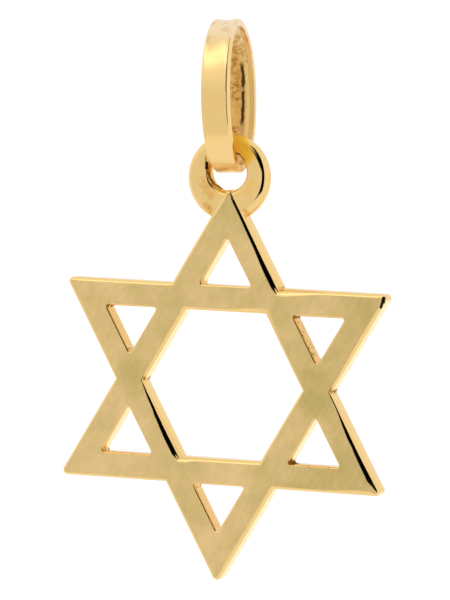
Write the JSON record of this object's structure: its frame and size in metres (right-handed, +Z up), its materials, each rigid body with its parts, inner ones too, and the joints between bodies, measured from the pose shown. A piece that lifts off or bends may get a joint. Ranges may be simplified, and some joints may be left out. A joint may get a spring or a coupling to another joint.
{
  "type": "star of david pendant",
  "caption": "Flat six-pointed star pendant of crossing bars with a round cast eye, hanging free from an oval strap bail for a neck chain.",
  "frame": {"origin": "seat of the neck chain, at the top of the bail's inside", "axes": "+X along the chain, -Y the front of the pendant, +Z up"},
  "size_m": [0.0157, 0.0038, 0.0259],
  "materials": {
    "star_gold": "yellow gold, satin polished face with bright rounded edges",
    "bail_gold": "yellow gold, bright polished"
  },
  "bodies": {
    "bail": {"bail": "bail_gold"},
    "star": {"star": "star_gold"}
  },
  "joints": [
    {"name": "star_swing", "type": "hinge", "parent": "bail", "child": "star", "pos_m": [0.00033, 0, -0.00504], "axis": [1, 0, 0], "range_deg": [-100, 100]}
  ]
}
